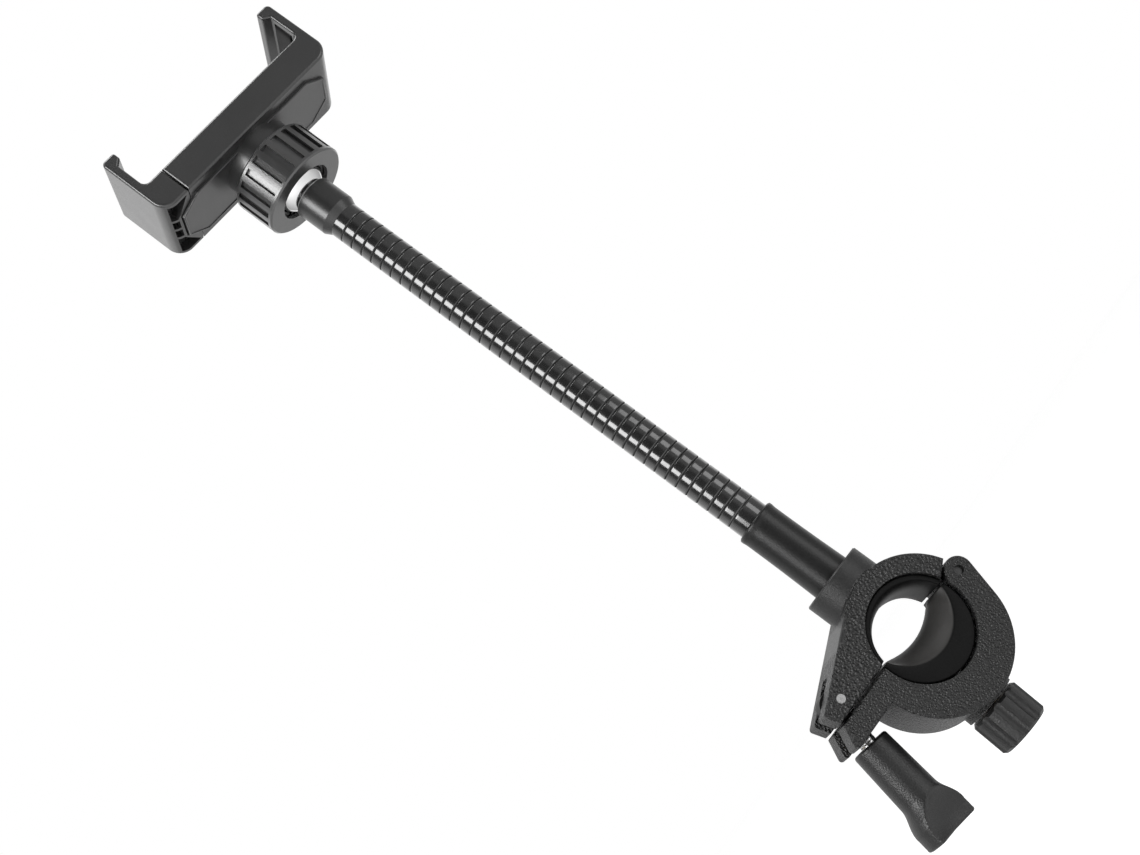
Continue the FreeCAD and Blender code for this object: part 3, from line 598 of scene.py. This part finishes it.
class Wire:
    # one output socket of a shader tree, so that shader maths reads as arithmetic
    def __init__(self, tree, socket=None):
        self.tree = tree
        self.socket = socket

    def node(self, kind, settings=None, inputs=None, output=0):
        made = self.tree.nodes.new(kind)
        for key, value in (settings or {}).items():
            setattr(made, key, value)
        for key, value in (inputs or {}).items():
            if isinstance(value, Wire):
                self.tree.links.new(value.socket, made.inputs[key])
            else:
                made.inputs[key].default_value = value
        return Wire(self.tree, made.outputs[output])

    def math(self, operation, *values):
        return self.node("ShaderNodeMath", {"operation": operation}, dict(enumerate(values)))

    def __add__(self, other):
        return self.math("ADD", self, other)

    def __sub__(self, other):
        return self.math("SUBTRACT", self, other)

    def __rsub__(self, other):
        return self.math("SUBTRACT", other, self)

    def __mul__(self, other):
        return self.math("MULTIPLY", self, other)

    __radd__ = __add__
    __rmul__ = __mul__

    def ramp(self, low, high):
        # 0 below low, 1 above high, smooth between
        limits = {"Value": self, "From Min": low, "From Max": high}
        return self.node("ShaderNodeMapRange", {"interpolation_type": "SMOOTHSTEP"}, limits)

    def mix(self, first, second):
        # a colour between two, by this factor
        return self.node("ShaderNodeMix", {"data_type": "RGBA"}, {0: self, 6: first, 7: second}, 2)

    def noise(self, scale, detail):
        return self.node("ShaderNodeTexNoise", None, {"Vector": self, "Scale": scale, "Detail": detail})

    def cells(self, scale, smooth):
        inputs = {"Vector": self, "Scale": scale, "Smoothness": smooth}
        return self.node("ShaderNodeTexVoronoi", {"feature": "SMOOTH_F1"}, inputs)

    def mark(self):
        return self.node("ShaderNodeAttribute", {"attribute_name": "mark"}, None, "Fac")

    def axes(self):
        made = self.node("ShaderNodeSeparateXYZ", None, {0: self}).socket.node
        return [Wire(self.tree, s) for s in made.outputs]

    def fromAxis(self, centre):
        # distance from a line along Y through the centre
        x, y, z = self.axes()
        x, z = x - centre[0], z - centre[2]
        return self.math("POWER", x * x + z * z, 0.5)

    def bump(self, distance, strength):
        inputs = {"Height": self, "Distance": distance, "Strength": strength}
        return self.node("ShaderNodeBump", None, inputs)


def grey(value, warmth=0.0):
    return (value * (1 + warmth), value, value * (1 - warmth), 1.0)


def material(name, recipe):
    made = bpy.data.materials.new(name)
    made.use_nodes = True
    tree = made.node_tree
    shader = tree.nodes["Principled BSDF"]
    place = Wire(tree).node("ShaderNodeTexCoord", None, None, "Object")
    for key, value in recipe(place).items():
        if isinstance(value, Wire):
            tree.links.new(value.socket, shader.inputs[key])
        else:
            shader.inputs[key].default_value = value
    return made


plastic = {
    "cloudScale": 55,
    "speckScale": 2600,
    "speckShare": 0.4,
    "toneSwing": 0.18,
    "roughScale": 160,
    "roughSwing": 0.06,
    "grainSmooth": 0.35,
    "grainStrength": 0.9,
}


def plasticRecipe(tone, rough, grain, depth, coat=0.0, coatRough=0.25, shine=0.5):
    def recipe(place):
        cloud = place.noise(plastic["cloudScale"], 3) * (1 - plastic["speckShare"])
        speck = place.noise(plastic["speckScale"], 2) * plastic["speckShare"]
        dark, light = grey(tone * (1 - plastic["toneSwing"])), grey(tone * (1 + plastic["toneSwing"]))
        patches = place.noise(plastic["roughScale"], 3) * (2 * plastic["roughSwing"])
        return {
            "Base Color": (cloud + speck).ramp(*midRange).mix(dark, light),
            "Roughness": patches + (rough - plastic["roughSwing"]),
            "Normal": place.cells(grain, plastic["grainSmooth"]).bump(depth, plastic["grainStrength"]),
            "Specular IOR Level": shine,
            "Coat Weight": coat,
            "Coat Roughness": coatRough,
        }
    return recipe


upperClamp = {
    "tones": (0.006, 0.012),
    "pebbleScale": 1250,
    "pebbleDepth": 0.9 * mm,
    "fineScale": 3000,
    "fineShare": 0.12,
    "ringRadius": (21.0 * mm, 21.3 * mm),
    "bossHeight": (14.0 * mm, 15.0 * mm),  # over the bore's axis
    "pebbleRough": 0.02,
}
lowerClamp = {
    "tones": (0.004, 0.008),
    "pebbleScale": 1700,
    "pebbleDepth": 0.5 * mm,
    "fineScale": 3200,
    "fineShare": 0.15,
}
clampLook = {
    "pebbleSmooth": 0.25,
    "pebbleShare": 0.5,  # of the tone
    "bumpStrength": 1.0,
    "cloudScale": 60,
    "rough": 0.36,
    "roughSwing": 0.1,
}


def clampRecipe(look):
    def recipe(place):
        pebble = place.cells(look["pebbleScale"], clampLook["pebbleSmooth"])
        fine = place.noise(look["fineScale"], 2) * look["fineShare"]
        cloud = place.noise(clampLook["cloudScale"], 3)
        dark, light = look["tones"]
        shade = cloud * (1 - clampLook["pebbleShare"]) + pebble * clampLook["pebbleShare"]
        rough, height = cloud * clampLook["roughSwing"] + clampLook["rough"], pebble
        if "bossHeight" in look:
            # smooth on the neck boss, which lies above the ring and further than it from the bore's axis
            above = (place.axes()[2] - boreHeight).ramp(*look["bossHeight"])
            ring = 1 - place.fromAxis(screwPivot).ramp(*look["ringRadius"]) * above
            rough, height = rough + ring * look["pebbleRough"], pebble * ring
        return {
            "Base Color": shade.ramp(*wideRange).mix(grey(dark), grey(light)),
            "Roughness": rough,
            "Normal": (height + fine).bump(look["pebbleDepth"], clampLook["bumpStrength"]),
        }
    return recipe


sleeveLook = {
    "tones": (0.008, 0.013),
    # the groove tone is painted shade in the grooves
    "grooveTone": 0.002,
    "cloudScale": 90,
    "scuffScale": 700,
    "scuffRange": (0.35, 0.75),
    "scuffDepth": 0.02 * mm,
    "scuffStrength": 0.3,
    "scuffRough": 0.06,
    "rough": 0.17,
    "grooveRough": 0.6,
    "grooveRange": (0.1, 0.6),  # of the mark
    "coatRough": 0.10,
}


def sleeveRecipe(place):
    # glossy, but dull down in the grooves, whose base colour is darkened there as painted shade
    look = sleeveLook
    dark, light = look["tones"]
    scuff = place.noise(look["scuffScale"], 4)
    groove = place.mark().ramp(*look["grooveRange"])
    land = place.noise(look["cloudScale"], 3).ramp(*midRange).mix(grey(dark), grey(light))
    scuffed = scuff.ramp(*look["scuffRange"]) * look["scuffRough"] + look["rough"]
    return {
        "Base Color": groove.mix(land, grey(look["grooveTone"])),
        "Roughness": scuffed + groove * look["grooveRough"],
        "Normal": scuff.bump(look["scuffDepth"], look["scuffStrength"]),
        "Coat Weight": 1 - groove,
        "Coat Roughness": look["coatRough"],
    }


rubber = {
    "cloudScale": 120,
    "dustScale": 2200,
    "dustShare": 0.4,
    "dustDepth": 0.08 * mm,
    "dustStrength": 0.5,
    "roughSwing": 0.06,
    "toneRange": (0.8, 1.25),  # times the tone
    # a painted sheen of light on the gripping face: its tone range and warmth
    "gripRange": (0.92, 1.08),
    "gripWarmth": 0.03,
}


def rubberRecipe(tone, rough, shine, gripSheenTone):
    # moulded sides, and, where the piece marks one, a gripping face painted paler and warmer as a painted sheen of
    # light
    def recipe(place):
        cloud, dust = place.noise(rubber["cloudScale"], 4), place.noise(rubber["dustScale"], 3)
        sideTones = [grey(tone * k) for k in rubber["toneRange"]]
        gripSheenTones = [grey(gripSheenTone * k, rubber["gripWarmth"]) for k in rubber["gripRange"]]
        shade = cloud * (1 - rubber["dustShare"]) + dust * rubber["dustShare"]
        side, grip = shade.ramp(*midRange).mix(*sideTones), cloud.ramp(*midRange).mix(*gripSheenTones)
        return {
            "Base Color": place.mark().ramp(*wideRange).mix(side, grip),
            "Roughness": dust * (2 * rubber["roughSwing"]) + (rough - rubber["roughSwing"]),
            "Specular IOR Level": shine,
            "Normal": dust.bump(rubber["dustDepth"], rubber["dustStrength"]),
        }
    return recipe


metal = {"scratchRough": 0.14, "scratchDepth": 0.01 * mm, "scratchStrength": 0.4, "scratchFineness": 9}
steelTones = (grey(0.52), grey(0.66))
brassTones = ((0.60, 0.42, 0.17, 1), (0.72, 0.53, 0.25, 1))


def metalRecipe(tones, rough, scale):
    def recipe(place):
        scratch = place.noise(scale * metal["scratchFineness"], 3)
        return {
            "Base Color": place.noise(scale, 4).ramp(*midRange).mix(*tones),
            "Metallic": 1.0,
            "Roughness": scratch * metal["scratchRough"] + (rough - metal["scratchRough"] / 2),
            "Normal": scratch.bump(metal["scratchDepth"], metal["scratchStrength"]),
        }
    return recipe


boltLook = {
    # painted shade on the eye inside the ear's slot
    "eyeTone": 0.03,
    "eyeRough": 0.3,  # over the thread's
    "eyeRadius": (5.5 * mm, 7.0 * mm),
    "rough": 0.19,
    "cloudScale": 260,
    "scratchScale": 2300,
}


def boltRecipe(place):
    # bright thread, and an eye round the pin painted dark as shade, where it sits in the ear's slot
    bright = place.fromAxis(boltPivot).ramp(*boltLook["eyeRadius"])
    scratch = place.noise(boltLook["scratchScale"], 3)
    steel = place.noise(boltLook["cloudScale"], 4).ramp(*midRange).mix(*steelTones)
    return {
        "Base Color": bright.mix(grey(boltLook["eyeTone"]), steel),
        "Metallic": 1.0,
        "Roughness": scratch * metal["scratchRough"] + boltLook["rough"] + (1 - bright) * boltLook["eyeRough"],
        "Normal": scratch.bump(metal["scratchDepth"], metal["scratchStrength"]),
    }


# by node where a node has its own finish, and else by the record's material slot
recipes = {
    "clamp_plastic": ("clampPebble", clampRecipe(upperClamp)),
    "clamp_lower_half": ("clampFine", clampRecipe(lowerClamp)),
    "nut_plastic": ("nutSatin", plasticRecipe(tone=0.009, rough=0.38, grain=2600, depth=0.08 * mm)),
    "cradle_plastic": ("cradleSatin", plasticRecipe(tone=0.010, rough=0.36, grain=2800, depth=0.03 * mm, coat=0.9)),
    "collar_plastic": ("collarGloss", plasticRecipe(tone=0.008, rough=0.34, grain=2600, depth=0.05 * mm, coat=1.0,
                                                    coatRough=0.30, shine=1.0)),
    "neck_sleeve": ("sleeveGloss", sleeveRecipe),
    "upper_ferrule": ("ferruleSatin", plasticRecipe(tone=0.014, rough=0.34, grain=2400, depth=0.02 * mm, coat=0.4)),
    "sleeve_rubber": ("bootRubber", rubberRecipe(tone=0.005, rough=0.36, shine=0.40, gripSheenTone=0.005)),
    # the pale grip tone is a painted sheen on the lower pad's face
    "pad_rubber": ("padRubber", rubberRecipe(tone=0.002, rough=0.44, shine=0.14, gripSheenTone=0.034)),
    "swing_bolt": ("boltSteel", boltRecipe),
    "hinge_pin": ("steelDark", metalRecipe(tones=(grey(0.05), grey(0.09)), rough=0.38, scale=260)),
    "steel": ("steelPlain", metalRecipe(tones=steelTones, rough=0.26, scale=260)),
    "spring_steel": ("springSteel", metalRecipe(tones=(grey(0.40), grey(0.56)), rough=0.32, scale=300)),
    "brass": ("brassPlain", metalRecipe(tones=brassTones, rough=0.30, scale=240)),
    "ball_chrome": ("ballChrome", metalRecipe(tones=(grey(0.74), grey(0.82)), rough=0.10, scale=200)),
}
finishes = {slot: material(name, recipe) for slot, (name, recipe) in recipes.items()}
slotOfNode = {p["node"]: p["material_slot"] for p in frame["record"]["subparts"]}
for name, node in nodes.items():
    node.data.materials.clear()
    node.data.materials.append(finishes.get(name) or finishes[slotOfNode[name]])
for piece in bpy.context.scene.objects:
    if "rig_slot" in piece:
        piece.data.materials.clear()
        piece.data.materials.append(finishes[piece["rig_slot"]])
print("materials made:", len(finishes))


# Stage: floor, light and camera

floorLook = {
    "drop": 60 * mm,  # below the object
    "size": 6.0,
    "tones": (0.86, 0.88),
    "cloudScale": 4,
    "rough": 0.9,
    "shine": 0.1,
    "glow": 0.55,  # for the camera alone
}
room = {
    "backdrop": (-0.1, 0.5),  # along Y, from dark to white
    "wall": (-0.15, 0.25),  # along X
    "wallShare": 0.40,
    "dim": 0.07,
    "ambient": 0.5,
}


def rayShares(wire):
    # what the camera sees straight, and what it sees straight, by reflection or through glass
    rays = wire.node("ShaderNodeLightPath").socket.node
    kinds = ("Is Camera Ray", "Is Glossy Ray", "Is Transmission Ray")
    straight, mirrored, through = [Wire(wire.tree, rays.outputs[k]) for k in kinds]
    return straight, (straight + mirrored + through).ramp(0.0, 1.0)


def floorRecipe(place):
    dark, light = floorLook["tones"]
    return {
        "Base Color": place.noise(floorLook["cloudScale"], 2).ramp(*wideRange).mix(grey(dark), grey(light)),
        "Roughness": floorLook["rough"],
        "Specular IOR Level": floorLook["shine"],
        "Emission Color": rayShares(place)[0].mix(grey(0.0), grey(1.0)),
        "Emission Strength": floorLook["glow"],
    }


floorHalf, floorHeight = floorLook["size"] / 2, cadLow.z - floorLook["drop"]
floorCorners = [(x * floorHalf, y * floorHalf, floorHeight) for x, y in ((-1, -1), (1, -1), (1, 1), (-1, 1))]
floorMesh = bpy.data.meshes.new("floor")
floorMesh.from_pydata(floorCorners, [], [(0, 1, 2, 3)])
floor = bpy.data.objects.new("floor", floorMesh)
bpy.context.scene.collection.objects.link(floor)
floor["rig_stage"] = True
floor.data.materials.append(material("floorPale", floorRecipe))

world = bpy.data.worlds.new("studio")
bpy.context.scene.world = world
world.use_nodes = True
sky = Wire(world.node_tree)
seen, shown = rayShares(sky)
x, y = sky.node("ShaderNodeTexCoord", None, None, "Generated").axes()[:2]
# reflections see the white backdrop beyond the object, a pale wall on the +X side and a dim corner between
backdrop, wall = y.ramp(*room["backdrop"]), x.ramp(*room["wall"])
brightness = sky.math("MAXIMUM", backdrop, wall * room["wallShare"]) * (1 - room["dim"]) + room["dim"]
reflected = brightness.mix(grey(0.0), grey(1.0))
colour = seen.mix(shown.mix(grey(room["ambient"]), reflected), grey(1.0))
world.node_tree.links.new(colour.socket, world.node_tree.nodes["Background"].inputs["Color"])

lamps = {
    "key": {"place": (-0.60, -0.36, 0.38), "target": (0, 0, 0.14), "size": (0.32, 0.58), "power": 5.6},
    "top": {"place": (0.1, -0.2, 0.9), "target": (0, 0, 0.15), "size": (0.4, 0.3), "power": 2.5},
    "fill": {"place": (0.5, -0.6, 0.0), "target": (0, 0, 0.1), "size": (0.4, 0.5), "power": 1.5},
}
for name, lamp in lamps.items():
    light = bpy.data.lights.new(name, "AREA")
    light.shape = "RECTANGLE"
    light.size, light.size_y = lamp["size"]
    light.energy = lamp["power"]
    holder = bpy.data.objects.new(name, light)
    holder.location = lamp["place"]
    aim = Vector(lamp["target"]) - Vector(lamp["place"])
    holder.rotation_euler = aim.to_track_quat("-Z", "Y").to_euler()
    bpy.context.scene.collection.objects.link(holder)

view = {
    "focal": 1650.0,  # in pixels of an image that is 1140 wide
    "width": 1140.0,
    "sensor": 36.0,
    "azimuth": math.radians(-18.52),
    "elevation": math.radians(-10.62),
    "roll": math.radians(-53.45),
    "target": (-10.14 * mm, 0.0, 105.80 * mm),
    "distance": 470.84 * mm,
    "clip": (0.01, 20),
}
camera = bpy.data.objects.new("camera", bpy.data.cameras.new("camera"))
bpy.context.scene.collection.objects.link(camera)
bpy.context.scene.camera = camera
camera.data.sensor_width = view["sensor"]
camera.data.lens = view["focal"] * view["sensor"] / view["width"]
camera.data.clip_start, camera.data.clip_end = view["clip"]
across = math.cos(view["elevation"])
forward = Vector((-math.sin(view["azimuth"]) * across, math.cos(view["azimuth"]) * across,
                  -math.sin(view["elevation"])))
# the picture's right and up before and after the roll
levelRight = forward.cross(Vector((0, 0, 1))).normalized()
levelUp = levelRight.cross(forward)
right = levelRight * math.cos(view["roll"]) + levelUp * math.sin(view["roll"])
up = levelUp * math.cos(view["roll"]) - levelRight * math.sin(view["roll"])
turned = Matrix((right, up, -forward)).transposed().to_4x4()
camera.matrix_world = Matrix.Translation(Vector(view["target"]) - forward * view["distance"]) @ turned
bpy.context.scene.view_settings.view_transform = "Standard"
print("stage ready")

low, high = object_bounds()
